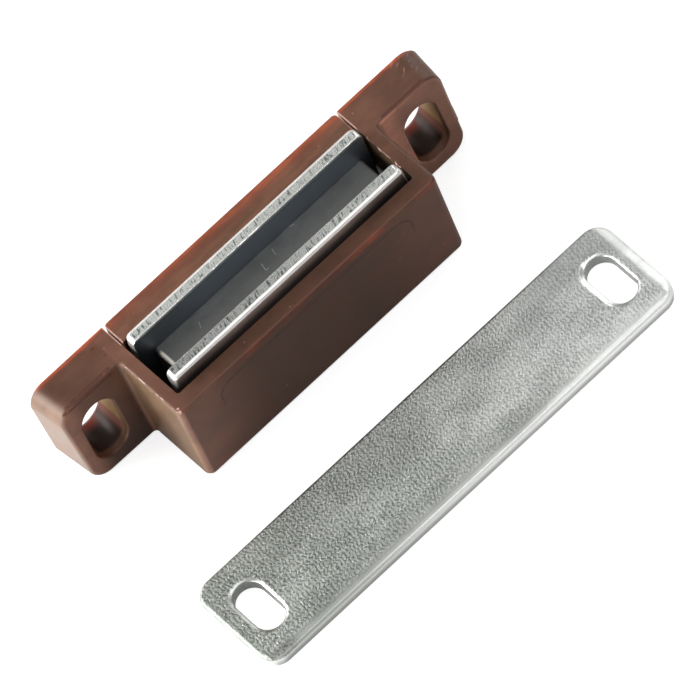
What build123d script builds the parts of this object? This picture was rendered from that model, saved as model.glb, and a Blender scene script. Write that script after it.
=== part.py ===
from build123d import *

import math
import os

# Magnetic cabinet catch: a moulded housing with two slotted ears, a floating magnet pack, a strike plate.
#
# Units are millimetres and +Z is up. The catch stands on its rear face with the pole face up, and the origin
# is the middle of that rear face. X runs along the catch, and +Y points to the side that is screwed to the
# cabinet.

# Block of the housing
block_length = 37.1
block_width = 14.4
block_height = 13.6
block_corner = 0.9
mould_draft = 0.6
front_wall = 2.05
end_wall = 1.65
rear_wall = 1.6
cavity_corner = 0.3
edge_round = 0.45
back_edge_chamfer = 0.15

# Screw ears
ear_span = 55.8
ear_foot = 5.7
ear_lean = 4.3
ear_front_step = 0.5
ear_end_draft = 0.6
ear_lift = 0.15
ear_corner = 2.3
slot_width = 4.4
slot_length = 8.8
slot_middle = 6.5
slot_mouth_round = 0.25
slot_back_bevel = 0.45
gate_height = 3.8
gate_width = 2.8
gate_proud = 0.1
gate_middle = 4.3
gate_from_front = 0.8

# Cover that closes the housing on the mounting side
cover_thickness = 3.15
cover_end_gap = 0.25
cover_corner = 0.5

# Magnet pack
plate_thickness = 1.5
plate_end_gap = 0.5
plate_proud = 1.75
plate_corner = 0.75
plate_outer_round = 0.35
plate_inner_round = 0.12
magnet_thickness = 5.2
magnet_length = 29.8
magnet_shift = 0.35
magnet_recess = 2.0
magnet_edge_round = 0.35
pack_float = 0.5

# Lugs of the pole plates and the grooves that trap them
lug_reach = 0.5
lug_height = 2.6
lug_base = 2.2
lug_gap = 0.25
float_gap = 0.1

# Strike plate, lying in front of the housing
strike_length = 58.7
strike_width = 13.0
strike_thickness = 1.5
strike_corner = 2.2
strike_distance = 9.5
strike_shift = -0.1
strike_slot_from_end = 4.0
strike_slot_width = 3.6
strike_slot_length = 6.7
strike_edge_round = 0.4
strike_slot_bevel = 0.3

# Extra length of the cuts that run out of a face
cut_over = 1.0

# Sizes that follow from those above
front_face = -block_width / 2
mounting_face = block_width / 2
cavity_front = front_face + front_wall
cavity_back = mounting_face - cover_thickness
cavity_length = block_length - 2 * end_wall
block_foot = block_length - 2 * block_height * math.tan(math.radians(mould_draft))
cavity_height = block_height - rear_wall
pack_width = 2 * plate_thickness + magnet_thickness
pack_front = (cavity_front + cavity_back - pack_width) / 2
plate_length = cavity_length - 2 * plate_end_gap
plate_height = cavity_height + plate_proud
magnet_height = cavity_height - magnet_recess
magnet_front = pack_front + plate_thickness
lug_span = cavity_length + 2 * lug_reach
groove_span = lug_span + 2 * lug_gap
groove_base = rear_wall + lug_base - lug_gap
groove_height = lug_height + lug_gap + pack_float + float_gap
slot_spacing = (block_length + ear_span) / 2
strike_back = front_face - strike_distance
strike_middle = strike_back - strike_width / 2
strike_slot_spacing = strike_length - 2 * strike_slot_from_end

mounting_plane = Plane.XZ.offset(-mounting_face)
lean = math.radians(ear_lean)
ear_front_middle = mounting_face - ear_foot + block_height / 2 * math.tan(lean)
ear_end_middle = ear_span / 2 - ear_end_draft * (1 - gate_middle / block_height) - ear_front_step / 2
gate_plane = Plane.YZ.offset(ear_end_middle + gate_proud)
ear_front_plane = Plane(
    origin=(0, mounting_face - ear_foot, 0),
    x_dir=(1, 0, 0),
    z_dir=(0, -math.cos(lean), math.sin(lean)),
)

os.makedirs("parts", exist_ok=True)

# Housing: one moulding, open towards the pole face and towards the mounting side
with BuildPart() as housing:
    # Ears, lofted from the mounting face to a smaller front face that leans back
    for plane, step, height in (
        (mounting_plane, 0, block_height),
        (ear_front_plane, ear_front_step, block_height / math.cos(lean)),
    ):
        with BuildSketch(plane) as ear_outline:
            with BuildLine():
                Polyline(
                    (cavity_length / 2, 0),
                    (block_foot / 2, 0),
                    (ear_span / 2 - ear_end_draft - step, ear_lift),
                    (ear_span / 2 - step, height),
                    (cavity_length / 2, height),
                    close=True,
                )
            make_face()
            fillet(ear_outline.vertices().sort_by(Axis.X)[-2:], ear_corner)
    loft()
    mirror(about=Plane.YZ)

    # Block between the ears, drafted at its ends
    with BuildSketch(mounting_plane):
        with Locations((0, block_height / 2)):
            Trapezoid(block_length, block_height, 90 - mould_draft, rotation=180)
    extrude(amount=block_width)
    front_ends = housing.faces().sort_by(Axis.Y)[0].edges().sort_by(Axis.X)
    fillet([front_ends[0], front_ends[-1]], block_corner)

    # Crisp edges round the mounting face, and soft moulded edges on the side that shows
    chamfer(housing.edges().group_by(Axis.Y)[-1], back_edge_chamfer)
    inner_corners = housing.edges().filter_by_position(Axis.Y, ear_front_middle - 0.1, ear_front_middle + 0.1)
    fillet(inner_corners.filter_by_position(Axis.X, -block_length / 2, block_length / 2), edge_round)
    fillet(housing.edges().filter_by_position(Axis.Y, front_face - 1, ear_front_middle + 1), edge_round)

    # Cavity for the magnet pack and its cover
    with BuildSketch(Plane.XY.offset(rear_wall)) as cavity_outline:
        with Locations((0, (cavity_front + mounting_face + cut_over) / 2)):
            Rectangle(cavity_length, mounting_face + cut_over - cavity_front)
        fillet(cavity_outline.vertices().group_by(Axis.Y)[0], cavity_corner)
    extrude(amount=cavity_height + cut_over, mode=Mode.SUBTRACT)

    # Groove in each end wall, open to the mounting side, for the lugs of the pole plates
    with BuildSketch(mounting_plane):
        with Locations((0, groove_base + groove_height / 2)):
            Rectangle(groove_span, groove_height)
    extrude(amount=mounting_face - cavity_front, mode=Mode.SUBTRACT)

    # Screw slots, which leave room to set the depth of the catch
    with BuildSketch(mounting_plane):
        with GridLocations(slot_spacing, 0, 2, 1):
            with Locations((0, slot_middle)):
                SlotOverall(slot_length, slot_width, rotation=90)
    extrude(amount=ear_foot, mode=Mode.SUBTRACT)
    slot_edges = housing.edges(Select.LAST)
    slot_mouths = slot_edges.filter_by_position(Axis.Y, mounting_face - ear_foot, ear_front_middle + 1)
    slot_backs = slot_edges.group_by(Axis.Y)[-1]
    fillet(slot_mouths, slot_mouth_round)
    chamfer(slot_backs, slot_back_bevel)

    # Gate mark on the end of one ear
    with BuildSketch(gate_plane):
        with Locations((ear_front_middle + gate_from_front + gate_width / 2, gate_middle)):
            RectangleRounded(gate_width, gate_height, gate_width / 4)
    extrude(amount=-(gate_proud + ear_end_draft))
housing.part.label = "housing"

# Cover: plugs the mounting side, with a tongue at each end that runs in the grooves
with BuildPart() as back_cover:
    with BuildSketch(mounting_plane) as cover_outline:
        with Locations((0, rear_wall + cavity_height / 2)):
            Rectangle(cavity_length - 2 * cover_end_gap, cavity_height)
    extrude(amount=cover_thickness)
    with BuildSketch(mounting_plane):
        with Locations((0, groove_base + groove_height / 2)):
            Rectangle(groove_span - 2 * lug_gap, groove_height - 2 * lug_gap)
    extrude(amount=cover_thickness)
    upright_back_edges = back_cover.edges().filter_by(Axis.Z).group_by(Axis.Y)[-1]
    fillet(upright_back_edges.filter_by(lambda e: abs(e.center().X) < cavity_length / 2), cover_corner)
    chamfer(back_cover.edges().group_by(Axis.Z)[-1].sort_by(Axis.Y)[-1], back_edge_chamfer)
back_cover.part.label = "back_cover"

# Pole plates: upright steel plates whose lugs are trapped in the housing
for name, plate_front, outer, inner in (
    ("front_pole_plate", pack_front, 0, -1),
    ("rear_pole_plate", magnet_front + magnet_thickness, -1, 0),
):
    with BuildPart() as pole_plate:
        with BuildSketch(Plane.XZ.offset(-plate_front)) as plate_outline:
            with Locations((0, rear_wall + plate_height / 2)):
                Rectangle(plate_length, plate_height)
            fillet(plate_outline.vertices().group_by(Axis.Y)[-1], plate_corner)
            with Locations((0, rear_wall + lug_base + lug_height / 2)):
                Rectangle(lug_span, lug_height)
        extrude(amount=-plate_thickness)
        top_edges = pole_plate.edges().filter_by(Plane.XZ).filter_by_position(
            Axis.Z, rear_wall + plate_height - plate_corner, rear_wall + plate_height).group_by(Axis.Y)
        fillet(top_edges[outer], plate_outer_round)
        fillet(top_edges[inner], plate_inner_round)
    pole_plate.part.label = name
    export_step(pole_plate.part, f"parts/{name}.step")

# Ferrite block between the plates
with BuildPart() as magnet:
    with BuildSketch(Plane.XY.offset(rear_wall)):
        with Locations((magnet_shift, magnet_front + magnet_thickness / 2)):
            Rectangle(magnet_length, magnet_thickness)
    extrude(amount=magnet_height)
    fillet(magnet.edges().filter_by(Axis.Y), magnet_edge_round)
magnet.part.label = "magnet"

# Strike plate: flat blank with two slots across it, lying in front of the housing
with BuildPart() as strike_plate:
    with BuildSketch(Plane.XY):
        with Locations((strike_shift, strike_middle)):
            RectangleRounded(strike_length, strike_width, strike_corner)
            with GridLocations(strike_slot_spacing, 0, 2, 1):
                SlotOverall(strike_slot_length, strike_slot_width, rotation=90, mode=Mode.SUBTRACT)
    extrude(amount=strike_thickness)
    fillet(strike_plate.faces().sort_by(Axis.Z)[-1].outer_wire().edges(), strike_edge_round)
    mouths = strike_plate.faces().sort_by(Axis.Z)[-1].inner_wires()
    fillet([edge for mouth in mouths for edge in mouth.edges()], strike_slot_bevel)
strike_plate.part.label = "strike_plate"

for piece in (housing, back_cover, magnet, strike_plate):
    export_step(piece.part, f"parts/{piece.part.label}.step")
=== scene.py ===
"""Magnetic cabinet catch and its strike plate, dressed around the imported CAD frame."""
import logging
import math
from contextlib import contextmanager
from dataclasses import dataclass
from enum import Enum
from functools import cached_property
from typing import Callable, Iterator

import bmesh
import bpy
from mathutils import Matrix, Vector


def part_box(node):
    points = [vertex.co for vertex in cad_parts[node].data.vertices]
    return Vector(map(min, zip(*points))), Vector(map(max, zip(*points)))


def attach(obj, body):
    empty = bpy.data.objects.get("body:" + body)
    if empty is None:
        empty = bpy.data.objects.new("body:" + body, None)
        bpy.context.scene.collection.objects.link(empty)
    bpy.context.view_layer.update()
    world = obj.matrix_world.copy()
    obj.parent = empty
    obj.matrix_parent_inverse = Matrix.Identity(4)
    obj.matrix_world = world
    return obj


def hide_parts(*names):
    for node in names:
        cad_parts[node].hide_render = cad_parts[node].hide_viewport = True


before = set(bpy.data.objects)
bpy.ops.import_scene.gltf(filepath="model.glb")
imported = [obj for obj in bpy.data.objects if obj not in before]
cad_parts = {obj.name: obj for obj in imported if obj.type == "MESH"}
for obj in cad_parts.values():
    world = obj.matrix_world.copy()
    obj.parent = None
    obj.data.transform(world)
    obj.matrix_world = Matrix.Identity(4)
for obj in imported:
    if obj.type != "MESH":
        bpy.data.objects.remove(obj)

LOG = logging.getLogger("magnetic_catch")
MM = 0.001

Colour = tuple[float, float, float]
Triple = tuple[float, float, float]


class Body(Enum):
    """The two rigid bodies of the catch."""

    HOUSING = "housing"
    PACK = "magnet_pack"


class Slot(Enum):
    """The finishes that the record names."""

    PLASTIC = "brown_plastic"
    POLE_STEEL = "pole_steel"
    FERRITE = "ferrite"
    ZINC = "zinc_plated_steel"


def from_srgb(red: int, green: int, blue: int) -> Colour:
    """Turns an eight-bit display colour into a linear one.

    Args:
        red: Red, 0 to 255.
        green: Green, 0 to 255.
        blue: Blue, 0 to 255.

    Returns:
        The three linear values.
    """
    def channel(value: int) -> float:
        """Makes one channel linear."""
        share = value / 255
        return share / 12.92 if share <= 0.04045 else ((share + 0.055) / 1.055) ** 2.4

    return channel(red), channel(green), channel(blue)


# ---------------------------------------------------------------- modelling


def activate(piece: bpy.types.Object) -> None:
    """Makes one object the active one and the only one selected."""
    bpy.ops.object.select_all(action="DESELECT")
    bpy.context.view_layer.objects.active = piece
    piece.select_set(True)


@contextmanager
def editing(piece: bpy.types.Object) -> Iterator[bmesh.types.BMesh]:
    """Edit mode on one piece alone, with nothing selected in it.

    Args:
        piece: The mesh object to edit.

    Yields:
        Its edit mesh, used to choose what an operator works on.
    """
    activate(piece)
    bpy.ops.object.mode_set(mode="EDIT")
    bpy.ops.mesh.select_all(action="DESELECT")
    yield bmesh.from_edit_mesh(piece.data)
    bpy.ops.object.mode_set(mode="OBJECT")


def pick(mesh: bmesh.types.BMesh, test: Callable[[bmesh.types.BMEdge], bool]) -> None:
    """Selects the edges of an edit mesh that pass a test, and nothing else.

    Args:
        mesh: The edit mesh.
        test: Says whether an edge is chosen.
    """
    bpy.ops.mesh.select_mode(type="EDGE")
    bpy.ops.mesh.select_all(action="DESELECT")
    for edge in mesh.edges:
        if test(edge):
            edge.select_set(True)


def span(edge: bmesh.types.BMEdge, axis: int) -> float:
    """How far an edge reaches along an axis."""
    return abs(edge.verts[0].co[axis] - edge.verts[1].co[axis])


def lowest(edge: bmesh.types.BMEdge) -> float:
    """The height of the lower end of an edge."""
    return min(end.co.z for end in edge.verts)


def settle(piece: bpy.types.Object, name: str) -> bpy.types.Object:
    """Names a piece and moves its place into its mesh.

    Args:
        piece: The piece.
        name: Its name.

    Returns:
        The piece.
    """
    piece.name = name
    piece.data.name = name
    activate(piece)
    bpy.ops.object.transform_apply(location=True, rotation=True, scale=True)
    return piece


def block(name: str, low: Vector, high: Vector) -> bpy.types.Object:
    """Adds a box between two corners.

    Args:
        name: Its name.
        low: The lower corner.
        high: The upper corner.

    Returns:
        The box.
    """
    bpy.ops.object.select_all(action="DESELECT")
    bpy.ops.mesh.primitive_cube_add(size=1, location=(low + high) / 2, scale=high - low)
    return settle(bpy.context.object, name)


def outline(name: str, middle: Vector, length: float, width: float, corner: float,
            segments: int) -> bpy.types.Object:
    """Adds a level face with rounded corners.

    Args:
        name: Its name.
        middle: Its middle.
        length: Its size along X.
        width: Its size along Y.
        corner: Radius of its corners.
        segments: Facets of each corner.

    Returns:
        The face.
    """
    bpy.ops.object.select_all(action="DESELECT")
    bpy.ops.mesh.primitive_plane_add(size=1, location=middle)
    piece = bpy.context.object
    piece.scale = (length, width, 1)
    settle(piece, name)
    with editing(piece):
        bpy.ops.mesh.select_all(action="SELECT")
        bpy.ops.mesh.bevel(offset=corner, segments=segments, affect="VERTICES", clamp_overlap=True)
    return piece


def apply_modifier(piece: bpy.types.Object, kind: str, **settings: object) -> None:
    """Adds a modifier and applies it.

    Args:
        piece: The piece.
        kind: The modifier's type.
        **settings: Attributes of the modifier.
    """
    activate(piece)
    modifier = piece.modifiers.new(kind.title(), kind)
    for key, value in settings.items():
        setattr(modifier, key, value)
    bpy.ops.object.modifier_apply(modifier=modifier.name)


def face_outward(piece: bpy.types.Object) -> None:
    """Turns every face of a closed piece outward."""
    with editing(piece):
        bpy.ops.mesh.select_all(action="SELECT")
        bpy.ops.mesh.normals_make_consistent(inside=False)


def raise_faces(height: float) -> None:
    """Extrudes the selected faces upward, in edit mode."""
    bpy.ops.mesh.extrude_region_move(TRANSFORM_OT_translate={"value": (0, 0, height)})


def paint(piece: bpy.types.Object, material: bpy.types.Material) -> None:
    """Gives a piece one material and no other."""
    piece.data.materials.clear()
    piece.data.materials.append(material)


def remove(piece: bpy.types.Object) -> None:
    """Deletes a helper object."""
    activate(piece)
    bpy.ops.object.delete()


def smooth(piece: bpy.types.Object, angle: float) -> None:
    """Shades a piece smooth, with sharp edges above an angle in degrees."""
    activate(piece)
    bpy.ops.object.shade_smooth_by_angle(angle=math.radians(angle))


def roughen(piece: bpy.types.Object, group: str, grain: Vector, depth: float, direction: str,
            level: float) -> None:
    """Displaces part of a piece with stretched clouds.

    Args:
        piece: The piece.
        group: The vertex group that moves.
        grain: Size of the clouds along each axis.
        depth: Range of the displacement.
        direction: X, Y or Z.
        level: Share of the range that lies on the negative side.
    """
    bpy.ops.object.select_all(action="DESELECT")
    bpy.ops.object.empty_add(location=piece.data.vertices[0].co)
    ruler = bpy.context.object
    ruler.scale = grain
    bpy.context.view_layer.update()
    clouds = bpy.data.textures.new(f"{piece.name}_clouds", "CLOUDS")
    clouds.noise_scale = 1.0
    clouds.noise_depth = 2
    clouds.contrast = 1.6
    apply_modifier(piece, "DISPLACE", texture=clouds, texture_coords="OBJECT", texture_coords_object=ruler,
                   direction=direction, strength=depth, mid_level=level, vertex_group=group)
    remove(ruler)


def take(piece: bpy.types.Object, body: Body, slot: Slot, *stands_for: str) -> None:
    """Hands a finished piece to the frame.

    Args:
        piece: The piece.
        body: The body that it rides on.
        slot: The finish that it takes; not used.
        *stands_for: CAD nodes that it is shown in place of.
    """
    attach(piece, body.value)
    if stands_for:
        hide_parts(*stands_for)
    LOG.info("built %s with %d faces", piece.name, len(piece.data.polygons))


def corners(node: str) -> tuple[Vector, Vector]:
    """The lowest and highest corner of a CAD node, in millimetres."""
    low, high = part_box(node)
    return low / MM, high / MM


def reach_above(node: str, height: float) -> tuple[float, float]:
    """The lowest and highest X of a CAD node above a height."""
    places = [corner.co.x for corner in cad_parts[node].data.vertices if corner.co.z > height]
    return min(places), max(places)


# ---------------------------------------------------------------- node graphs


class Field:
    """A value that varies over a surface, with the arithmetic of Math nodes."""

    def __init__(self, graph: "Graph", socket: bpy.types.NodeSocket) -> None:
        """Wraps one output of a graph."""
        self.graph = graph
        self.socket = socket

    def __add__(self, other: "Value") -> "Field":
        """The sum."""
        return self.graph.math("ADD", self, other)

    def __sub__(self, other: "Value") -> "Field":
        """What is left of this value."""
        return self.graph.math("SUBTRACT", self, other)

    def __rsub__(self, other: float) -> "Field":
        """What this value leaves of a number."""
        return self.graph.math("SUBTRACT", other, self)

    def __mul__(self, other: "Value") -> "Field":
        """The product."""
        return self.graph.math("MULTIPLY", self, other)

    def __abs__(self) -> "Field":
        """The value without its sign."""
        return self.graph.math("ABSOLUTE", self)

    def ramp(self, low: float, high: float, to_low: float = 0.0, to_high: float = 1.0) -> "Field":
        """Maps the range from low to high onto another, smoothly and clamped."""
        inputs = dict(enumerate((self, low, high, to_low, to_high)))
        return self.graph.node("MapRange", "Result", inputs, interpolation_type="SMOOTHSTEP")

    def fade(self, low: float, high: float) -> "Field":
        """Falls from 1 to 0 over a range."""
        return self.ramp(low, high, 1.0, 0.0)

    def band(self, middle: float, half: float, soft: float) -> "Field":
        """A soft stripe, 1 as far as half from its middle and 0 from soft beyond that."""
        return abs(self - middle).fade(half, half + soft)


Value = Field | float
Tone = Field | Colour


class Graph:
    """A short way to write the node tree of a material or a world, with lengths in millimetres."""

    def __init__(self, owner: bpy.types.Material | bpy.types.World) -> None:
        """Empties the owner's node tree.

        Args:
            owner: The material or the world.
        """
        self.owner = owner
        owner.use_nodes = True
        self.tree = owner.node_tree
        self.tree.nodes.clear()

    @classmethod
    def of_material(cls, name: str) -> "Graph":
        """Makes the graph of a new material."""
        return cls(bpy.data.materials.new(name))

    @cached_property
    def place(self) -> Field:
        """The object coordinates, in millimetres."""
        return self.scaled(self.node("TexCoord", "Object"), 1 / MM)

    @cached_property
    def axes(self) -> tuple[Field, ...]:
        """The object coordinates along X, Y and Z."""
        return self.parts(self.place)

    @cached_property
    def facing(self) -> tuple[Field, ...]:
        """How far the surface faces right, back and up."""
        return self.parts(self.node("NewGeometry", "Normal"))

    def node(self, kind: str, output: int | str, inputs: dict[int | str, object] | None = None,
             **settings: object) -> Field:
        """Adds a node.

        Args:
            kind: Its type name, without ShaderNode in front.
            output: The output to use, by name or number.
            inputs: Plain values or fields for its inputs, by name or number.
            **settings: Attributes of the node.

        Returns:
            The output.
        """
        node = self.tree.nodes.new(f"ShaderNode{kind}")
        for key, value in settings.items():
            setattr(node, key, value)
        for key, value in (inputs or {}).items():
            socket = node.inputs[key]
            if isinstance(value, Field):
                self.tree.links.new(value.socket, socket)
            else:
                socket.default_value = (*value, 1.0) if socket.type == "RGBA" else value
        return Field(self, node.outputs[output])

    def parts(self, vector: Field) -> tuple[Field, ...]:
        """Splits a vector into its parts along X, Y and Z."""
        split = self.node("SeparateXYZ", 0, {0: vector}).socket.node
        return tuple(Field(self, output) for output in split.outputs)

    def math(self, operation: str, *values: Value, clamp: bool = False) -> Field:
        """One step of a Math node, kept between 0 and 1 if clamp is set."""
        return self.node("Math", 0, dict(enumerate(values)), operation=operation, use_clamp=clamp)

    def largest(self, value: Value, *others: Value) -> Field:
        """The largest of some values, at each place."""
        for other in others:
            value = self.math("MAXIMUM", value, other)
        return value

    def distance(self, first: Field, second: Field) -> Field:
        """The distance over two steps at right angles."""
        return self.math("SQRT", first * first + second * second)

    def mapped(self, scale: Triple, turn: float = 0.0) -> Field:
        """Object coordinates, turned about Z in radians and then scaled per metre."""
        turned = self.node("VectorRotate", 0, {"Vector": self.place, "Angle": turn}, rotation_type="Z_AXIS")
        return self.node("VectorMath", 0, {0: turned, 1: Vector(scale) * MM}, operation="MULTIPLY")

    def noise(self, scale: Triple, detail: float, roughness: float = 0.5, warp: float = 0.0,
              turn: float = 0.0) -> Field:
        """Smooth noise, 0 to 1: cells per metre, octaves, weight of the finer ones, distortion and turn."""
        inputs = {"Vector": self.mapped(scale, turn), "Scale": 1.0, "Detail": detail, "Roughness": roughness,
                  "Distortion": warp}
        return self.node("TexNoise", "Fac", inputs)

    def mix(self, share: Value, first: Tone, second: Tone) -> Field:
        """Blends two colours by the share of the second."""
        return self.node("Mix", 2, {"Factor": share, 6: first, 7: second}, data_type="RGBA")

    def layers(self, tone: Tone, *layers: tuple[Value, Tone]) -> Field:
        """Lays colours over a ground, each by its own share."""
        for share, colour in layers:
            tone = self.mix(share, tone, colour)
        return tone

    def scaled(self, colour: Tone, factor: Value) -> Field:
        """Multiplies a colour by a number."""
        return self.node("VectorMath", 0, {0: colour, "Scale": factor}, operation="SCALE")

    def bump(self, height: Field, distance: float, strength: float = 1.0,
             under: Field | None = None) -> Field:
        """A bumped normal.

        Args:
            height: The height, 0 to 1.
            distance: What a height of 1 stands for.
            strength: Share of the effect.
            under: A normal to build on.

        Returns:
            The normal.
        """
        inputs = {"Strength": strength, "Distance": distance * MM, "Height": height}
        if under is not None:
            inputs["Normal"] = under
        return self.node("Bump", 0, inputs)

    def scratch(self, mark: "Scratch") -> Field:
        """A straight hairline on a level face.

        Args:
            mark: The hairline.

        Returns:
            Its share, 0 to 1.
        """
        length = math.hypot(*mark.run)
        across, up = mark.run[0] / length, mark.run[1] / length
        first, second = self.axes[0] - mark.start[0], self.axes[1] - mark.start[1]
        along = first * across + second * up
        aside = first * up - second * across
        ends = along.band(length / 2, length / 2 - mark.taper, mark.taper)
        return aside.band(0.0, mark.width / 4, mark.width / 2) * ends

    def spots(self, places: tuple["Spot", ...]) -> Field:
        """Small blots on the surface.

        Args:
            places: The blots.

        Returns:
            Their share, 0 to 1.
        """
        share: Value = 0.0
        for spot in places:
            away = self.node("VectorMath", "Value", {0: self.place, 1: spot.place}, operation="DISTANCE")
            share = self.largest(share, away.fade(spot.reach / 2, spot.reach))
        return share

    def ripples(self, pitch: float, warp: float, grain: Triple, slant: float) -> Field:
        """Short wavy crests across X.

        Args:
            pitch: Distance between crests.
            warp: How far noise shifts them, in radians of a wave.
            grain: Scale of that noise, per metre.
            slant: Shift of a crest along X over a step of 1 along Y.

        Returns:
            The height, about 0 to 1.
        """
        x, y, _ = self.axes
        turns = (x - y * slant) * (2 * math.pi / pitch)
        shift = self.noise(grain, detail=2).ramp(0.25, 0.75, -warp, warp)
        finer = tuple(1.6 * part for part in grain)
        swell = self.noise(finer, detail=1).ramp(0.36, 0.62, 0.05, 0.75)
        return self.math("SINE", turns + shift) * swell + 0.5

    def shade(self, reach: float, low: float, high: float, darkest: float) -> Field:
        """Painted shade in corners: darkest where openness is low, 1 where it is high."""
        openness = self.node("AmbientOcclusion", "AO", {"Distance": reach * MM}, samples=8)
        return openness.ramp(low, high, darkest, 1.0)

    def end(self, kind: str, surface: Field) -> bpy.types.Material | bpy.types.World:
        """Ends the graph in its output.

        Args:
            kind: Material or World.
            surface: The shader.

        Returns:
            The material or the world.
        """
        output = self.tree.nodes.new(f"ShaderNodeOutput{kind}")
        self.tree.links.new(surface.socket, output.inputs["Surface"])
        return self.owner

    def surface(self, **inputs: object) -> bpy.types.Material:
        """Ends the graph in a Principled shader, whose input names have _ for a space."""
        named = {key.replace("_", " "): value for key, value in inputs.items()}
        return self.end("Material", self.node("BsdfPrincipled", 0, named))


# ---------------------------------------------------------------- finishes


@dataclass(frozen=True)
class Scratch:
    """A straight hairline: where it starts and how far it runs, on the face that it marks."""

    start: tuple[float, float]
    run: tuple[float, float]
    width: float = 0.09
    taper: float = 0.1


@dataclass(frozen=True)
class Spot:
    """A small blot: where it is and how far it reaches."""

    place: Triple
    reach: float


@dataclass(frozen=True)
class BrownPlastic:
    """Semi-gloss brown moulding, redder where the wall is thin and light comes through it."""

    name: str
    front: Colour = (0.060, 0.024, 0.013)
    back: Colour = (0.104, 0.044, 0.026)
    lit: Colour = (0.175, 0.078, 0.052)
    ear_lit: Colour = (0.300, 0.135, 0.090)
    ear_inner_lit: Colour = (0.620, 0.270, 0.180)
    end_edge_highlight: Colour = (0.42, 0.24, 0.17)
    left_facing_lit: Colour = (0.175, 0.108, 0.062)
    tip_lit: Colour = (0.220, 0.140, 0.100)
    warm: Colour = (0.42, 0.080, 0.028)
    ember: Colour = (0.17, 0.030, 0.018)
    slot_lit: Colour = (0.330, 0.200, 0.085)
    slot_highlight: Colour = (0.180, 0.075, 0.055)
    painted_shade: Colour = (0.014, 0.006, 0.004)
    mottle: Colour = (0.062, 0.040, 0.022)
    mark: Colour = (0.070, 0.015, 0.010)
    witness: Colour = (0.034, 0.010, 0.007)
    pale: Colour = from_srgb(214, 176, 160)
    dust: Colour = from_srgb(150, 96, 80)
    sheen: Colour = (1.0, 0.84, 0.77)
    mottled: float = 0.08
    marked: float = 0.85
    nick_glints: tuple[Spot, ...] = (
        Spot((-18.25, -6.90, 13.5), 0.32),
        Spot((-18.05, -6.45, 13.6), 0.18),
        Spot((-20.44, 2.25, 13.4), 0.22),
        Spot((26.10, 5.75, 13.3), 0.22),
    )
    stains: tuple[Spot, ...] = (
        Spot((-19.27, 5.94, 13.6), 0.42),
        Spot((-18.82, 4.41, 13.6), 0.30),
        Spot((-18.15, 3.13, 13.6), 0.30),
    )
    insert_x: float = 0.2
    insert_half: float = 11.8
    insert_top: float = 10.4
    insert_corner: float = 1.8
    slot_x: float = 23.225
    slot_z: float = 6.5
    slot_half_width: float = 2.24
    slot_half_length: float = 4.42
    gap_x: float = 16.78
    gap_highlight: float = 0.8
    back_reach: float = 1.0
    front_reach: float = 0.9
    front_drop: float = 0.3
    front_warmth: float = 0.50
    warmth: float = 1.0
    everywhere: float = 0.0
    roughness: float = 0.4
    gloss: float = 0.42
    slot_gloss: float = 0.6
    cavity_reach: float = 7
    cavity_shade: float = 0.30
    peel_depth: float = 0.02
    grain_depth: float = 0.008
    mark_depth: float = 0.05

    def body(self, graph: Graph) -> Field:
        """The brown with light and shade painted in: darkest at the front of the block, lighter towards the
        back and at its ends.

        Args:
            graph: The material's graph.

        Returns:
            The colour.
        """
        x, y, z = graph.axes
        to_right, to_back, to_top = graph.facing
        ahead = to_back.ramp(-0.55, -0.85)
        # Painted light towards each end of the block, most on the faces that look ahead
        left = x.ramp(-8, -18) * x.fade(-18.4, -18.9) * ahead.ramp(0.0, 1.0, 0.32, 0.92)
        right = x.ramp(5, 20) * ahead.ramp(0.0, 1.0, 0.15, 0.66)
        # Faces of the ears: painted light on the right, strongest next to the block, and at the far left;
        # painted shade towards the foot of the left one
        tips = x.ramp(-24, -26.5, 0.0, 0.62) * ahead
        right_ear = x.ramp(18.6, 19.4) * x.ramp(19.5, 26, 1.0, 0.72) * ahead * z.ramp(0.5, 7, 0.45, 1.0)
        foot = x.ramp(-25.4, -23.6) * x.fade(-19.2, -18.6) * ahead
        # Faces that look left, such as the end of the block: painted light but for painted shade in the
        # corner that the ear shades, a painted highlight on the block's front left edge, and painted light on
        # the end of the left ear
        shaded = y.ramp(-5.5, -2) * z.ramp(11, 3, 0.0, 0.68) * y.fade(2, 3)
        edge = (to_right * to_back).ramp(0.12, 0.40) * to_top.ramp(0.3, 0.1) * y.ramp(-5, -5.6)
        # Lighter towards the back: painted light that comes through the plastic from behind
        tone = graph.layers(
            self.front,
            (y.ramp(-6, 3), self.back),
            (graph.largest(left, right), self.lit),
            (graph.largest(tips, right_ear), self.ear_lit),
            (right_ear * x.ramp(22, 19.6, 0.0, 0.75), self.ear_inner_lit),
            (foot * z.ramp(11, 1.5, 0.0, 0.62), self.painted_shade),
            (to_right.ramp(-0.6, -0.9, 0.0, 0.9), graph.mix(shaded, self.left_facing_lit, self.front)),
            (edge * x.ramp(-17, -18, 0.0, 0.5), self.end_edge_highlight),
            (to_right.ramp(-0.3, -0.7) * x.ramp(-23, -25), self.tip_lit),
        )
        # Painted shade on the tops of the ears
        tops = to_top.ramp(0.6, 0.9) * abs(x).ramp(18.4, 22)
        return graph.scaled(tone, tops.ramp(0.0, 1.0, 1.0, 0.76))

    def marks(self, graph: Graph) -> tuple[Field, Field, Field]:
        """The outline of an insert, dark moulding marks, pale scuffs, and small nicks with painted glints.

        Args:
            graph: The material's graph.

        Returns:
            The shares of outline, of dark, and of pale with the painted glints.
        """
        x, y, z = graph.axes
        broken = graph.noise((900, 900, 900), detail=3, roughness=0.7)
        # Outline of an insert in the mould, on the front face
        across = graph.largest(abs(x - self.insert_x) - self.insert_half, 0.0)
        above = graph.largest(z - self.insert_top, 0.0)
        line = graph.distance(across, above).band(self.insert_corner, 0.06, 0.09)
        on_front = z.ramp(8, 11) * y.fade(-7.1, -6.9)
        line = line * on_front * broken.ramp(0.32, 0.46, 0.35, 1.0)
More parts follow.
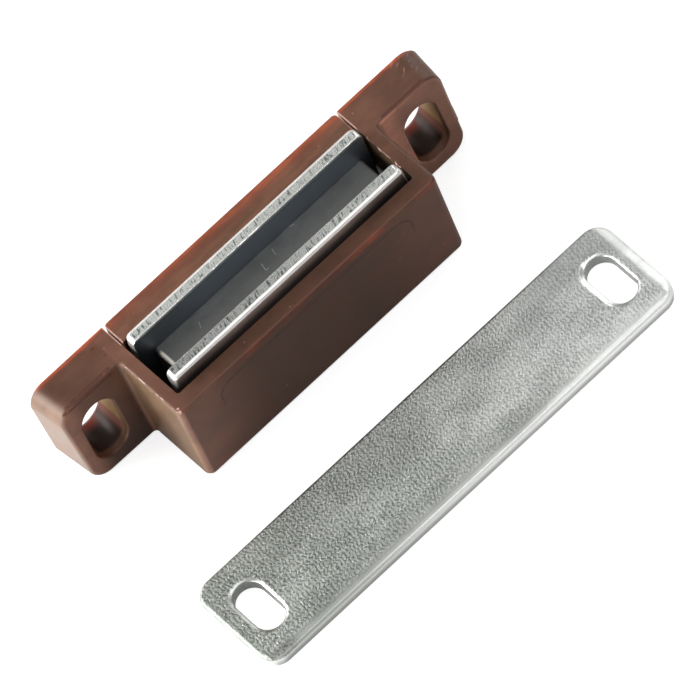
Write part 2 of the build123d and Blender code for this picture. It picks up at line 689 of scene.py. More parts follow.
        # Two lines along the front top edge of the ears, the lower one on the left ear alone
        top_line = y.band(2.90, 0.09, 0.12) * z.ramp(13.3, 13.5)
        low_line = z.band(13.10, 0.09, 0.14) * y.ramp(2.9, 2.7) * x.fade(0.0, 1)
        on_ear = abs(x).ramp(19.3, 19.8) * x.fade(25.2, 25.8)
        ear_lines = graph.largest(top_line, low_line) * on_ear * broken.ramp(0.3, 0.5, 0.4, 1.0)
        stained = graph.spots(self.stains) * broken.ramp(0.42, 0.55, 0.0, 0.7)
        # Scuffs at the end of the ear on the right
        hair = graph.noise((2600, 420, 900), detail=3, roughness=0.7, turn=0.9)
        scuff = hair.ramp(0.55, 0.65) * x.ramp(23.8, 25.6)
        scuff = scuff * y.ramp(3.4, 5.2) * z.ramp(12.6, 13.3)
        # Small nicks, painted pale as glints
        glinting_nicks = graph.spots(self.nick_glints) * broken.ramp(0.40, 0.50)
        return line, graph.largest(ear_lines, stained), graph.largest(scuff, glinting_nicks)

    def in_slot(self, graph: Graph) -> Field:
        """Finds the walls of the screw slots.

        Args:
            graph: The material's graph.

        Returns:
            1 on the walls.
        """
        x, y, z = graph.axes
        within = (abs(x) - self.slot_x).band(0.0, self.slot_half_width, 0.1)
        return within * z.band(self.slot_z, self.slot_half_length, 0.1) * y.ramp(2.4, 2.9)

    def slot_tone(self, graph: Graph, inside: Field, colour: Field) -> Field:
        """Walls of the screw slots: painted light above on the walls that face left, a painted pinkish
        highlight lower down, painted shade below, and a painted red glow where their back rim is thin.

        Args:
            graph: The material's graph.
            inside: 1 on the walls.
            colour: The colour elsewhere.

        Returns:
            The colour.
        """
        _, y, z = graph.axes
        to_right = graph.facing[0]
        wall = graph.layers(
            self.painted_shade,
            (z.ramp(2.6, 3.5), self.slot_highlight),
            (to_right.ramp(0.2, -0.5) * z.ramp(3.9, 4.7), self.slot_lit),
            (y.ramp(5.2, 7.0) * to_right.ramp(-0.75, -0.2), self.ember),
        )
        return graph.mix(inside, colour, wall)

    def warmed(self, graph: Graph, node: str, streaks: Field) -> Field:
        """Warm light through the thin edges, in patches along them.

        Args:
            graph: The material's graph.
            node: The CAD node whose box places the edges.
            streaks: Noise that breaks up the patches.

        Returns:
            The colour.
        """
        _, y, z = graph.axes
        low, high = corners(node)
        up = high.z - z
        back = graph.distance(high.y - y, up).ramp(0.0, self.back_reach, self.warmth, self.everywhere)
        front = graph.distance(y - low.y, up - self.front_drop)
        front = front.ramp(0.1, self.front_reach, self.front_warmth, 0.0)
        front *= graph.noise((210, 300, 300), detail=3).ramp(0.42, 0.6)
        patches = streaks.ramp(0.34, 0.64, 0.35, 1.1)
        share = graph.math("MULTIPLY", graph.largest(back, front), patches, clamp=True)
        return graph.mix(share, self.body(graph), graph.mix(share.ramp(0.2, 0.8), self.ember, self.warm))

    def make(self, node: str) -> bpy.types.Material:
        """Builds the material for one piece.

        Args:
            node: The CAD node whose box places the warm edges.

        Returns:
            The material.
        """
        graph = Graph.of_material(self.name)
        x, y, _ = graph.axes
        clouds = graph.noise((260, 420, 330), detail=4, roughness=0.6)
        streaks = graph.noise((120, 1300, 900), detail=4, roughness=0.65)
        body = self.warmed(graph, node, streaks)
        body = graph.mix(streaks.ramp(0.42, 0.66, 0.0, self.mottled), body, self.mottle)
        colour = graph.scaled(body, clouds.ramp(0.3, 0.7, 0.88, 1.20))

        # Marks of the mould, dust specks, painted glints on small nicks, and a painted highlight in the gap
        # where the cover meets the ears
        line, dark, scuff = self.marks(graph)
        dots = {"Vector": graph.mapped((420, 420, 420)), "Scale": 1.0}
        speck = graph.node("TexVoronoi", "Distance", dots, feature="F1")
        colour = graph.layers(
            colour,
            (line * self.marked, self.witness),
            (dark * self.marked, self.mark),
            (scuff * x.ramp(0.0, 1, 0.75, 0.28), self.pale),
            (speck.ramp(0.03, 0.07, 0.55, 0.0), self.dust),
        )
        # Painted shade in corners and recesses
        colour = graph.scaled(colour, graph.shade(self.cavity_reach, 0.12, 0.5, self.cavity_shade))
        inside = self.in_slot(graph)
        # A painted highlight in the gap where the cover meets the ears, laid over the painted shade
        joint_highlight = abs(x).band(self.gap_x, 0.14, 0.12) * y.ramp(3.6, 4.2, 0.0, self.gap_highlight)

        # The faint orange peel of the mould, a finer grain, and the marks pressed in
        peel = graph.noise((1400, 1400, 1400), detail=3, roughness=0.55)
        relief = graph.bump(peel, self.peel_depth, 0.5)
        relief = graph.bump(graph.noise((6000, 6000, 6000), detail=1), self.grain_depth, 0.6, relief)
        relief = graph.bump(graph.largest(line, dark), -self.mark_depth, 0.6, relief)
        return graph.surface(
            Base_Color=graph.mix(joint_highlight, self.slot_tone(graph, inside, colour), self.pale),
            Roughness=clouds.ramp(0.3, 0.7, self.roughness - 0.04, self.roughness + 0.08),
            IOR=1.5,
            Specular_IOR_Level=inside.ramp(0.0, 1.0, self.gloss, self.gloss * self.slot_gloss),
            Specular_Tint=self.sheen,
            Normal=relief,
        )


@dataclass(frozen=True)
class ShearedSteel:
    """Bright plated steel, with crosswise marks of the shear along its cut edge, painted shade on its inner
    face and a painted brown reflection on its outer face.
    """

    name: str
    base: Colour = (0.80, 0.82, 0.78)
    pit: Colour = (0.13, 0.16, 0.14)
    polished: Colour = (0.97, 0.94, 0.91)
    inner: Colour = (0.34, 0.38, 0.43)
    outer: Colour = (0.58, 0.50, 0.46)
    roughness: float = 0.26
    face_roughness: float = 0.42
    rim_roughness: float = 0.46
    left_painted_light: float = 1.0
    right_painted_light: float = 1.0
    crack_pitch: float = 0.24
    crack_slant: float = 0.25
    crack_dark: float = 0.85
    brush_depth: float = 0.006
    crack_depth: float = 0.02

    @property
    def cracks_per_metre(self) -> float:
        """How closely the cracks follow each other."""
        return 1 / (self.crack_pitch * MM)

    def cracked(self, graph: Graph, away: Field, inner_sign: int) -> Field:
        """Short cracks across the cut edge, which leave its burnished side free.

        Args:
            graph: The material's graph.
            away: Distance from the face against the magnet.
            inner_sign: The way that this face looks along Y.

        Returns:
            The depth, 0 to 1.
        """
        pitch = self.cracks_per_metre
        if inner_sign > 0:
            torn = away.ramp(0.1, 0.25) * away.ramp(1.12, 0.98)
        else:
            torn = away.ramp(0.22, 0.4)
        cracks = graph.noise((pitch, pitch / 5, pitch / 5), 3, roughness=0.6, warp=0.4, turn=self.crack_slant)
        clumps = graph.noise((pitch / 6, pitch / 3, 1.0), detail=2)
        return cracks.ramp(0.50, 0.60) * clumps.ramp(0.36, 0.56, 0.35, 1.0) * torn

    def make(self, node: str, inner_sign: int) -> bpy.types.Material:
        """Builds the material for one plate.

        Args:
            node: The plate, whose top edge carries the marks.
            inner_sign: +1 where the face against the magnet looks to +Y, and -1 where it looks to -Y.

        Returns:
            The material.
        """
        low, high = corners(node)
        graph = Graph.of_material(f"{self.name}_{node}")
        x, y, z = graph.axes
        away = abs(y - (high.y if inner_sign > 0 else low.y))
        on_edge = z.ramp(high.z - 0.2, high.z - 0.1)
        below = z.fade(high.z - 0.45, high.z - 0.2)
        rim = away.ramp(0.98, 1.1) * z.ramp(high.z - 0.5, high.z - 0.4)
        pitch = self.cracks_per_metre
        fine = graph.noise((pitch * 2.4, pitch, 1.0), detail=2, roughness=0.6, turn=self.crack_slant)
        relief = graph.bump(graph.noise((5200, 5200, 160), detail=2), self.brush_depth, 0.6)
        relief = graph.bump(fine * on_edge, self.crack_depth, 1.0, relief)

        # The cut edge, painted lighter at one end of the plate; on the faces below it, painted shade on the
        # inner face, darker to the left, and a painted brown reflection on the outer face, darker at the ends
        dark = self.cracked(graph, away, inner_sign) * on_edge * self.crack_dark
        plated = graph.scaled(self.base, fine.ramp(0.3, 0.7, 0.78, 1.12))
        painted_light = x.ramp(-14, 14, self.left_painted_light, self.right_painted_light)
        tone = graph.layers(
            graph.scaled(graph.mix(dark, plated, self.pit), painted_light),
            (rim, self.polished),
            (away.ramp(1.4, 1.46) * below, graph.scaled(self.outer, abs(x).ramp(7, 14, 1.0, 0.55))),
            (away.fade(0.04, 0.1) * below, graph.scaled(self.inner, x.ramp(-14, -5, 0.62, 0.95))),
        )
        rough = on_edge.ramp(0.0, 1.0, self.face_roughness, self.roughness)
        return graph.surface(
            Base_Color=tone,
            Metallic=1.0,
            Roughness=graph.largest(rough, rim * self.rim_roughness),
            Normal=relief,
        )


@dataclass(frozen=True)
class Ferrite:
    """Ground dark ceramic with a few hairline scratches and a black glue line along one side."""

    name: str
    base: Colour = from_srgb(92, 92, 87)
    dark: Colour = from_srgb(56, 57, 57)
    scored: Colour = from_srgb(165, 165, 158)
    black: Colour = (0.004, 0.004, 0.005)
    end_highlight: Colour = (0.75, 0.70, 0.62)
    glue: float = 0.13
    grind_depth: float = 0.008
    roughness: float = 0.42
    scratches: tuple[Scratch, ...] = (
        Scratch((-0.19, 0.92), (-0.22, -1.05)),
        Scratch((-0.41, -0.13), (0.44, 0.06)),
        Scratch((1.76, 1.40), (-0.22, -0.95), 0.07),
        Scratch((-9.18, 0.90), (-0.42, -0.88), 0.07),
        Scratch((4.78, 1.88), (0.58, -0.16), 0.08),
    )

    def make(self, node: str) -> bpy.types.Material:
        """Builds the material.

        Args:
            node: The magnet.

        Returns:
            The material.
        """
        low, high = corners(node)
        graph = Graph.of_material(self.name)
        x, y, z = graph.axes
        patches = graph.noise((300, 500, 300), detail=4, roughness=0.65)
        across = y.ramp(low.y + 0.5, high.y - 0.6) * patches.ramp(0.3, 0.7, 0.5, 0.9)
        hairlines = graph.largest(*(graph.scratch(mark) for mark in self.scratches))
        # The glue line along the far side, and a painted highlight on the edge at the left end
        wander = graph.noise((500, 1.0, 1.0), detail=3).ramp(0.3, 0.7, 0.6 * self.glue, 1.3 * self.glue)
        glued = (y - high.y + wander).ramp(-0.02, 0.02)
        highlit_end = x.ramp(low.x + 0.5, low.x + 0.3) * y.ramp(1.6, 0.8) * z.ramp(high.z - 0.7, high.z - 0.3)
        tone = graph.layers(
            self.base,
            (graph.largest(across, x.ramp(-6, 16) * 0.5), self.dark),
            (hairlines * 0.6, self.scored),
            (glued, self.black),
            (highlit_end, self.end_highlight),
        )
        grind = graph.noise((2600, 240, 900), detail=3, turn=0.25)
        return graph.surface(
            Base_Color=tone,
            Roughness=patches.ramp(0.3, 0.7, self.roughness - 0.06, self.roughness + 0.1),
            IOR=1.7,
            Normal=graph.bump(grind, self.grind_depth, 0.6),
        )


@dataclass(frozen=True)
class ZincSteel:
    """Bright zinc over rolled steel: close ripples across the blank, smooth where the die drew its edge."""

    name: str
    left: Colour = (0.64, 0.66, 0.62)
    right: Colour = (0.91, 0.93, 0.90)
    side_left: Colour = (0.68, 0.69, 0.66)
    side_right: Colour = (0.95, 0.96, 0.94)
    pit: Colour = (0.19, 0.22, 0.19)
    burnished: Colour = (0.96, 0.97, 0.95)
    burr: Colour = (0.12, 0.12, 0.10)
    roughness: float = 0.32
    rim_roughness: float = 0.60
    rim: float = 1.0
    ripple_pitch: float = 0.465
    ripple_warp: float = 2.7
    ripple_grain: Triple = (900.0, 2300.0, 1.0)
    ripple_slant: float = 0.09
    ripple_depth: float = 0.034
    draw: float = 0.35
    draw_width: float = 1.6
    hole_x: float = 25.35
    hole_straight: float = 1.55
    hole_radius: float = 1.8
    mouth_width: float = 0.85
    mouth_draw: float = 0.16

    def ground(self, graph: Graph, node: str, clouds: Field) -> Field:
        """The zinc, painted lighter to the right where more light falls, a little darker towards the back, at
        the far right and in a band along the front, and clouded.

        Args:
            graph: The material's graph.
            node: The strike plate.
            clouds: Slow noise.

        Returns:
            The colour.
        """
        low, high = corners(node)
        x, y, _ = graph.axes
        tone = graph.mix(x.ramp(-24, 26), self.left, self.right)
        across = y.ramp(low.y + 2, high.y - 3, 1.0, 0.88) * clouds.ramp(0.35, 0.65, 1.10, 0.82)
        far_right = y.ramp(high.y - 6, high.y - 1) * x.ramp(10, 22)
        front_band = y.band(low.y + 1.6, 0.7, 1.4) * x.band(-6, 12, 9)
        dimmed = across * far_right.ramp(0.0, 1.0, 1.0, 0.78) * front_band.ramp(0.0, 1.0, 1.0, 0.80)
        return graph.scaled(tone, dimmed)

    def mouths(self, graph: Graph, node: str) -> Field:
        """How far the sheet is drawn down on the left of its two holes, more at the right one.

        Args:
            graph: The material's graph.
            node: The strike plate.

        Returns:
            The depth, 0 to 1.
        """
        low, high = corners(node)
        x, y, _ = graph.axes
        aside = abs(x - (low.x + high.x) / 2) - self.hole_x
        beyond = abs(y - (low.y + high.y) / 2) - self.hole_straight
        away = graph.distance(aside, graph.largest(beyond, 0.0))
        dip = away.ramp(self.hole_radius + self.mouth_width, self.hole_radius + 0.15)
        dip = dip * dip * x.ramp(-5, 5, 0.35, 1.0)
        return dip * (aside * x.ramp(0.0, 1, -1.0, 1.0)).ramp(-0.2, -1.2)

    def front_edge(self, graph: Graph, depth: Field, before: Field, tone: Field) -> Field:
        """The rolled edge in front: painted shade along its crest, and below it a burnished band with a
        painted highlight that grows to the right.

        Args:
            graph: The material's graph.
            depth: Depth below the top of the plate.
            before: 1 on the front side.
            tone: The colour elsewhere.

        Returns:
            The colour.
        """
        x = graph.axes[0]
        crest = depth.band(0.03, 0.025, 0.02) * before
        lip = depth.band(0.19, 0.12, 0.05) * before
        score = depth.band(0.28, 0.09, 0.08) * before
        return graph.layers(
            graph.scaled(tone, crest.ramp(0.0, 1.0, 1.0, 0.82)),
            (lip * x.ramp(-22, -4, 0.3, 1.0), self.burnished),
            (score * x.ramp(-16, 0.0, 0.34, 0.10), self.pit),
        )

    def make(self, node: str) -> bpy.types.Material:
        """Builds the material.

        Args:
            node: The strike plate.

        Returns:
            The material.
        """
        low, high = corners(node)
        graph = Graph.of_material(self.name)
        x, y, z = graph.axes
        worms = graph.ripples(self.ripple_pitch, self.ripple_warp, self.ripple_grain, self.ripple_slant)
        pebbles = graph.noise((4200, 2600, 1.0), detail=2, roughness=0.6)
        clouds = graph.noise((130, 260, 1.0), detail=4, roughness=0.6)
        height = worms * 0.75 + pebbles.ramp(0.3, 0.7, -0.1, 0.35)
        mouths = self.mouths(graph, node)

        # The ripples fade towards the near and right rims, and round the mouths
        inside = y.ramp(low.y + self.rim * 0.5, low.y + self.rim * 1.5)
        inside *= x.ramp(high.x - self.rim * 0.7, high.x - self.rim * 1.9)
        depth = inside * z.ramp(high.z - 0.05, high.z - 0.01) * clouds.ramp(0.3, 0.65, 0.7, 1.0)
        depth = depth * x.ramp(-20, 22, 1.1, 0.6) * mouths.ramp(0.02, 0.3, 1.0, 0.15)

        # The cut side in front: painted lighter above and to the right, painted shade below towards the floor
        side = graph.mix(x.ramp(-24, 14), self.side_left, self.side_right)
        side = graph.scaled(side, z.ramp(0.25, 1.3, 0.52, 1.03))
        before = y.ramp(low.y + 0.6, low.y + 0.3)
        upright = z.fade(high.z - 0.45, high.z - 0.25) * before

        # Darker in the troughs of the ripples, dull rims darkened with painted shade, more to the left, and a
        # burr at the near left corner
        flat_rim = z.ramp(high.z - 0.5, high.z - 0.35)
        left_rim = x.ramp(low.x + self.rim, low.x + self.rim * 0.4)
        rims = graph.largest(y.ramp(low.y + self.rim, low.y + self.rim * 0.4), left_rim)
        dull = graph.largest(rims * x.ramp(-26, 20, 0.40, 0.0), left_rim * 0.48) * flat_rim
        corner = x.ramp(-25.0, -26.5) * y.ramp(-28.3, -28.9)
        tone = graph.layers(
            self.ground(graph, node, clouds),
            (height.ramp(0.1, 0.8, 0.95, -0.12) * depth, self.pit),
            (upright, side),
            (dull, self.pit),
            (corner * flat_rim * pebbles.ramp(0.46, 0.56, 0.1, 0.8), self.burr),
        )

        # The sheet is drawn down towards its right end, and duller along its rims
        drawn = x.ramp(high.x - self.draw_width, high.x)
        relief = graph.bump(height * depth, self.ripple_depth)
        relief = graph.bump(drawn * drawn, -self.draw, under=relief)
        relief = graph.bump(mouths, -self.mouth_draw, under=relief)
        soft = graph.largest(rims, drawn.ramp(0.0, 0.4, 0.0, 0.8)) * self.rim_roughness
        rough = pebbles.ramp(0.3, 0.7, self.roughness - 0.04, self.roughness + 0.08)
        return graph.surface(
            Base_Color=self.front_edge(graph, high.z - z, before, tone),
            Metallic=1.0,
            Roughness=graph.largest(rough, soft),
            Normal=relief,
        )


# ---------------------------------------------------------------- sub-assemblies


def dress(node: str, material: bpy.types.Material) -> None:
    """Gives a CAD node its finish."""
    paint(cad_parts[node], material)
    LOG.info("dressed %s with %s", node, material.name)


@dataclass(frozen=True)
class Flash:
    """A thin wavy lip of plastic that the mould left along an edge that runs along Y."""

    name: str
    start: Triple
    end: Triple
    width: float
    height: float
    wander: float
    grain: float = 0.9 * MM
    cuts: int = 48

    def build(self, finish: bpy.types.Material) -> None:
        """Models the lip.

        Args:
            finish: Its material.
        """
        start, end = Vector(self.start), Vector(self.end)
        length = (end - start).length
        half = Vector((self.width / 2, self.width / 2, self.height / 2))
        low = Vector(map(min, start, end)) - half
        high = Vector(map(max, start, end)) + half
        low.x, high.x = start.x - half.x, start.x + half.x
        piece = block(self.name, low, high)
        with editing(piece) as mesh:
            pick(mesh, lambda edge: span(edge, 1) > 0.9 * length)
            bpy.ops.mesh.subdivide(number_cuts=self.cuts)
        group = piece.vertex_groups.new(name="all")
        group.add(range(len(piece.data.vertices)), 1.0, "REPLACE")
        grain = Vector((self.grain,) * 3)
        roughen(piece, "all", grain, self.wander, "X", 0.5)
        roughen(piece, "all", grain * 0.6, self.height * 0.7, "Z", 0.9)
        apply_modifier(piece, "SUBSURF", levels=2)
        smooth(piece, 80)
        paint(piece, finish)
        take(piece, Body.HOUSING, Slot.PLASTIC)


@dataclass
class HousingMoulding:
    """The moulded housing, the cover that closes its mounting side, and the flash on its edges."""

    shell: BrownPlastic = BrownPlastic("brown_moulding")
    cover: BrownPlastic = BrownPlastic(
        "brown_cover", back=(0.125, 0.052, 0.030), back_reach=1.9, front_warmth=0.0, warmth=0.9,
        everywhere=0.05, mottled=0.50)
    flash_dark: Colour = (0.17, 0.065, 0.045)
    flash_highlight: Colour = (0.52, 0.36, 0.31)
    lips: tuple[Flash, ...] = (
        Flash("pocket_flash", (17.02 * MM, -3.0 * MM, 13.52 * MM), (16.98 * MM, 2.2 * MM, 13.52 * MM),
              width=0.36 * MM, height=0.26 * MM, wander=0.26 * MM),
        Flash("end_flash", (-18.33 * MM, -6.8 * MM, 13.49 * MM), (-18.33 * MM, 2.0 * MM, 13.49 * MM),
              width=0.14 * MM, height=0.21 * MM, wander=0.07 * MM, cuts=64),
    )

    def flash_finish(self) -> bpy.types.Material:
        """Builds the glossy finish of the thin flash, pale pink as a painted highlight along the edges."""
        graph = Graph.of_material("flash_plastic")
        clouds = graph.noise((1500, 1500, 1500), detail=3)
        tone = graph.mix(clouds.ramp(0.35, 0.6), self.flash_dark, self.flash_highlight)
        return graph.surface(Base_Color=tone, Roughness=0.28, IOR=1.5)

    def build(self) -> None:
        """Dresses the two mouldings and models the flash."""
        dress("housing", self.shell.make("housing"))
        dress("back_cover", self.cover.make("back_cover"))
        finish = self.flash_finish()
        for lip in self.lips:
            lip.build(finish)


@dataclass
class PolePlate:
    """A pole plate, stamped from strip: rolled over on one side, torn across its cut edge."""

    node: str
    outer: int
    outer_round: float = 0.52 * MM
    inner_round: float = 0.12 * MM
    corner: float = 0.75 * MM
    shoulder: float = 6.3 * MM
    lug_base: float = 2.2 * MM
    lug_top: float = 4.8 * MM
    lug_inset: float = 0.05 * MM
    cuts_along: int = 400
    cuts_across: int = 9
    tear: float = 0.055 * MM

    def body(self) -> bpy.types.Object:
        """Models the plain plate, without its lugs.

        Returns:
            The plate.
        """
        low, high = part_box(self.node)
        left, right = reach_above(self.node, low.z + 1.2 * self.shoulder)
        plate = block(f"{self.node}_stamped", Vector((left, low.y, low.z)), Vector((right, high.y, high.z)))
        face = low.y if self.outer < 0 else high.y

        def is_top_corner(edge: bmesh.types.BMEdge) -> bool:
            """Whether an edge is a top corner, across the plate."""
            return lowest(edge) > high.z - 0.01 * MM and span(edge, 1) > 0.9 * (high.y - low.y)

        def on_rim(edge: bmesh.types.BMEdge, side: float) -> bool:
            """Whether an edge is on one side of the top, round its corners too."""
            beside = all(abs(end.co.y - side) < 0.01 * MM for end in edge.verts)
            sharp = len(edge.link_faces) == 2 and edge.calc_face_angle(0.0) > math.radians(60)
            return beside and sharp and lowest(edge) > high.z - 1.01 * self.corner

        with editing(plate) as mesh:
            pick(mesh, is_top_corner)
            bpy.ops.mesh.bevel(offset=self.corner, segments=8)
            pick(mesh, lambda edge: on_rim(edge, face))
            bpy.ops.mesh.bevel(offset=self.outer_round, segments=6)
            pick(mesh, lambda edge: on_rim(edge, low.y + high.y - face))
            bpy.ops.mesh.bevel(offset=self.inner_round, segments=3)
        return plate

    def tear_edge(self, plate: bpy.types.Object) -> None:
        """Divides the top finely and tears it crosswise.

        Args:
            plate: The plate.
        """
        low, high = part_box(self.node)
        with editing(plate) as mesh:
            pick(mesh, lambda edge: span(edge, 0) > (high.x - low.x) / 2)
            bpy.ops.mesh.subdivide(number_cuts=self.cuts_along)
            pick(mesh, lambda edge: lowest(edge) > high.z - 0.001 * MM and span(edge, 1) > 0.5 * MM)
            bpy.ops.mesh.subdivide(number_cuts=self.cuts_across)
        group = plate.vertex_groups.new(name="torn")
        torn = [corner.index for corner in plate.data.vertices if corner.co.z > high.z - 0.02 * MM]
        group.add(torn, 1.0, "REPLACE")
        roughen(plate, "torn", Vector((0.30, 1.3, 1.0)) * MM, self.tear, "Z", 1.0)
        roughen(plate, "torn", Vector((1.6, 0.5, 1.0)) * MM, self.tear / 2, "Z", 1.0)

    def lugs(self) -> bpy.types.Object:
        """Models the bar whose ends are the two lugs."""
        low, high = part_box(self.node)
        start = Vector((low.x, low.y + self.lug_inset, low.z + self.lug_base))
        end = Vector((high.x, high.y - self.lug_inset, low.z + self.lug_top))
        return block("lugs", start, end)

    def build(self, finish: bpy.types.Material) -> None:
        """Models the plate in place of its CAD node.

        Args:
            finish: Its material.
        """
        plate = self.body()
        self.tear_edge(plate)
        lugs = self.lugs()
        activate(plate)
        lugs.select_set(True)
        bpy.ops.object.join()
        smooth(plate, 50)
        paint(plate, finish)
        take(plate, Body.PACK, Slot.POLE_STEEL, self.node)


@dataclass
class MagnetPack:
    """The ferrite block between its two pole plates."""

    steels: tuple[ShearedSteel, ...] = (
        ShearedSteel("sheared_steel", left_painted_light=0.74, right_painted_light=1.0),
        ShearedSteel("sheared_steel", left_painted_light=1.22, right_painted_light=1.12),
    )
    ferrite: Ferrite = Ferrite("ferrite")
    plates: tuple[PolePlate, ...] = (PolePlate("front_pole_plate", -1), PolePlate("rear_pole_plate", 1))

    def build(self) -> None:
        """Models the plates and dresses the magnet."""
        for plate, steel in zip(self.plates, self.steels):
            finish = steel.make(plate.node, -plate.outer)
            dress(plate.node, finish)
            plate.build(finish)
        dress("magnet", self.ferrite.make("magnet"))


@dataclass
class StrikePlate:
    """The steel blank that the magnet pulls on, with the roll-over that the press left round its edges."""

    zinc: ZincSteel = ZincSteel("zinc_steel")
    corner: float = 2.2 * MM
    roll_width: float = 0.46 * MM
    roll_depth: float = 0.42 * MM
    roll_steps: int = 10
    slot_from_end: float = 4.0 * MM
    slot_width: float = 3.6 * MM
    slot_length: float = 6.7 * MM
    mouth_width: float = 0.55 * MM
    mouth_depth: float = 0.26 * MM
    arc_facets: int = 12
    nearly_round: float = 0.999
    clearance: float = 0.002 * MM
    overrun: float = 1 * MM

    def quarter(self, width: float, depth: float, steps: int) -> list[tuple[float, float]]:
        """Steps of a quarter ellipse, from upright to level.

        Args:
            width: Its reach inward.
            depth: Its height.
            steps: How many.

        Returns:
            The inward and upward part of each step.
        """
        angles = [math.pi / 2 * index / steps for index in range(steps + 1)]
        points = [(width * (1 - math.cos(angle)), depth * math.sin(angle)) for angle in angles]
        return [(b[0] - a[0], b[1] - a[1]) for a, b in zip(points, points[1:])]

    def blank(self) -> bpy.types.Object:
        """Models the blank, rolled over at its rim.

        Returns:
            The blank.
        """
        low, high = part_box("strike_plate")
        middle = Vector(((low.x + high.x) / 2, (low.y + high.y) / 2, low.z))
        piece = outline("strike_blank", middle, high.x - low.x, high.y - low.y, self.corner, self.arc_facets)
        with editing(piece):
            bpy.ops.mesh.select_all(action="SELECT")
            raise_faces(high.z - low.z - self.roll_depth)
            for inward, upward in self.quarter(self.roll_width, self.roll_depth, self.roll_steps):
                bpy.ops.mesh.inset(thickness=inward, depth=upward, use_even_offset=True)
        face_outward(piece)
        return piece

    def punch(self, side: int) -> bpy.types.Object:
        """Models the tool that cuts one slot, flared where the sheet was drawn in.

        Args:
            side: -1 for the slot on the left, 1 for the one on the right.

        Returns:
            The tool.
        """
        low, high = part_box("strike_plate")
        x = (low.x + high.x) / 2 + side * ((high.x - low.x) / 2 - self.slot_from_end)
        middle = Vector((x, (low.y + high.y) / 2, low.z - self.overrun))
        corner = self.slot_width / 2 * self.nearly_round
        tool = outline(f"punch_{side}", middle, self.slot_width, self.slot_length, corner, self.arc_facets)
        with editing(tool):
            bpy.ops.mesh.select_all(action="SELECT")
            raise_faces(high.z - self.mouth_depth - middle.z)
            wide, long = self.slot_width, self.slot_length
            past_top = self.mouth_depth + self.clearance
            for outward, upward in self.quarter(self.mouth_width, past_top, self.roll_steps):
                raise_faces(upward)
                factor = ((wide + 2 * outward) / wide, (long + 2 * outward) / long, 1)
                bpy.ops.transform.resize(value=factor, center_override=(middle.x, middle.y, high.z))
                wide, long = wide + 2 * outward, long + 2 * outward
            raise_faces(self.overrun)
        face_outward(tool)
        return tool

    def build(self) -> None:
        """Models the blank in place of its CAD node."""
        finish = self.zinc.make("strike_plate")
        dress("strike_plate", finish)
        blank = self.blank()
        for side in (-1, 1):
            tool = self.punch(side)
            apply_modifier(blank, "BOOLEAN", operation="DIFFERENCE", object=tool, solver="EXACT")
            remove(tool)
        smooth(blank, 50)
        apply_modifier(blank, "WEIGHTED_NORMAL", keep_sharp=True)
        paint(blank, finish)
        take(blank, Body.HOUSING, Slot.ZINC, "strike_plate")


# ---------------------------------------------------------------- studio


@dataclass(frozen=True)
class Softbox:
    """A square area lamp that faces the catch."""

    name: str
    toward: Triple
    distance: float
    size: float
    power: float

    def build(self, middle: Vector) -> None:
        """Adds the lamp.

        Args:
            middle: The point that it faces.
        """
        data = bpy.data.lights.new(self.name, "AREA")
        data.shape = "SQUARE"
        data.size = self.size
        data.energy = self.power
        lamp = bpy.data.objects.new(self.name, data)
        bpy.context.scene.collection.objects.link(lamp)
        direction = Vector(self.toward).normalized()
        lamp.location = middle + direction * self.distance
        lamp.rotation_euler = direction.to_track_quat("Z", "Y").to_euler()


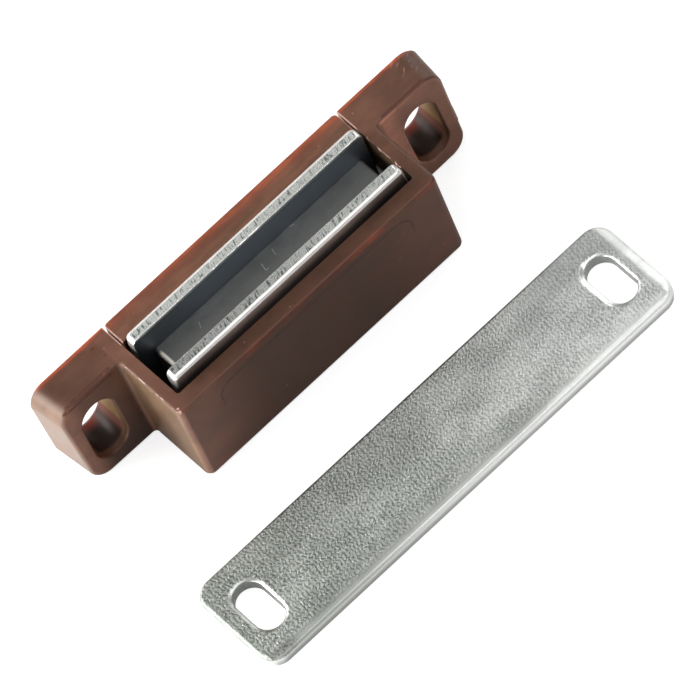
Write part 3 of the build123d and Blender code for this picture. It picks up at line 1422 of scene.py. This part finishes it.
@dataclass
class Studio:
    """Pale floor, soft light and the camera."""

    lens: float = 772.5
    aim: Triple = (0.738 * MM, -9.574 * MM, 4 * MM)
    forward: Triple = (0.18581591, 0.50339951, -0.84383729)
    distance: float = 1.5647
    roll: float = -25.387
    sensor: float = 36.0
    clip: tuple[float, float] = (0.05, 20.0)
    sky_height: float = 0.9
    sky_low: float = 0.22
    sky_high: float = 0.6
    floor_half: float = 3.0
    floor_colour: Colour = (0.45, 0.45, 0.45)
    floor_lift: float = 0.72
    gloss_dim: float = 0.05
    gloss_left: float = 1.7
    gloss_front: float = 0.85
    gloss_right: float = 1.0
    gloss_behind: float = 0.15
    lamps: tuple[Softbox, ...] = (
        Softbox("key", (0.22, -0.26, 0.94), 0.5, 0.36, 0.80),
        Softbox("right", (0.84, 0.44, 0.32), 0.5, 0.30, 0.50),
        Softbox("right_high", (0.62, 0.50, 0.61), 0.6, 0.20, 0.12),
        Softbox("left", (-0.77, 0.48, 0.42), 0.45, 0.26, 2.1),
        Softbox("left_low", (-0.95, -0.10, 0.22), 0.45, 0.30, 1.3),
        Softbox("rear", (-0.20, 0.88, 0.42), 0.55, 0.3, 0.55),
    )

    def build_camera(self) -> None:
        """Adds the camera at its viewing angle."""
        scene = bpy.context.scene
        forward = Vector(self.forward).normalized()
        level = forward.cross(Vector((0, 0, 1))).normalized()
        above = level.cross(forward)
        turn = math.radians(self.roll)
        right = level * math.cos(turn) + above * math.sin(turn)
        up = right.cross(forward)
        data = bpy.data.cameras.new("camera")
        data.lens = self.lens
        data.sensor_width = self.sensor
        data.clip_start, data.clip_end = self.clip
        camera = bpy.data.objects.new("camera", data)
        place = Matrix((right, up, -forward)).transposed().to_4x4()
        place.translation = Vector(self.aim) - forward * self.distance
        camera.matrix_world = place
        scene.collection.objects.link(camera)
        scene.camera = camera

    def build_world(self) -> None:
        """Adds the sky: dim at the horizon, brighter above, white where the camera sees it."""
        world = bpy.data.worlds.new("studio")
        bpy.context.scene.world = world
        graph = Graph(world)
        upward = graph.parts(graph.node("TexCoord", "Generated"))[2]
        glow = upward.ramp(0.0, self.sky_height, self.sky_low, self.sky_high)
        seen = graph.node("Mix", 0, {0: graph.node("LightPath", "Is Camera Ray"), 2: glow, 3: 1.0})
        graph.end("World", graph.node("Background", 0, {"Strength": seen}))

    def gloss_floor(self, graph: Graph) -> Field:
        """Painted reflections: how bright a gloss sees the floor, bright to the left, right and front, dim
        beneath and behind.

        Args:
            graph: The floor's graph.

        Returns:
            The share of the lift.
        """
        x, y, _ = graph.axes
        left = x.ramp(-26.5, -28.5)
        right = x.band(38, 6, 2)
        before = y.ramp(-27, -31)
        behind = y.ramp(7.6, 8.4) * abs(x).band(23.2, 3.0, 0.4)
        return graph.largest(self.gloss_dim, left * self.gloss_left, right * self.gloss_right,
                             before * self.gloss_front, behind * self.gloss_behind)

    def build_floor(self) -> None:
        """Adds the floor: pale to the light, lifted to white where the camera sees it, and lit in patches for
        glosses as painted reflections.
        """
        bpy.ops.object.select_all(action="DESELECT")
        bpy.ops.mesh.primitive_plane_add(size=2 * self.floor_half, location=(0, 0, 0))
        floor = bpy.context.object
        floor.name = "floor"
        graph = Graph.of_material("pale_floor")
        gloss = graph.node("LightPath", "Is Glossy Ray") * self.gloss_floor(graph)
        shown = graph.largest(graph.node("LightPath", "Is Camera Ray"), gloss)
        matt = graph.node("BsdfDiffuse", 0, {"Color": self.floor_colour})
        lift = graph.node("Emission", 0, {"Strength": shown * self.floor_lift})
        floor.data.materials.append(graph.end("Material", graph.node("AddShader", 0, {0: matt, 1: lift})))

    def build(self) -> None:
        """Builds the camera, the sky, the floor and the lamps."""
        self.build_camera()
        self.build_world()
        self.build_floor()
        for lamp in self.lamps:
            lamp.build(Vector(self.aim))
        bpy.context.scene.view_settings.view_transform = "Standard"


def main() -> None:
    """Builds the studio and the sub-assemblies."""
    logging.basicConfig(level=logging.INFO, format="%(name)s: %(message)s")
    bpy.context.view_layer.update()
    Studio().build()
    for assembly in (HousingMoulding(), MagnetPack(), StrikePlate()):
        assembly.build()
        LOG.info("finished %s", type(assembly).__name__)


if __name__ == "__main__":
    main()
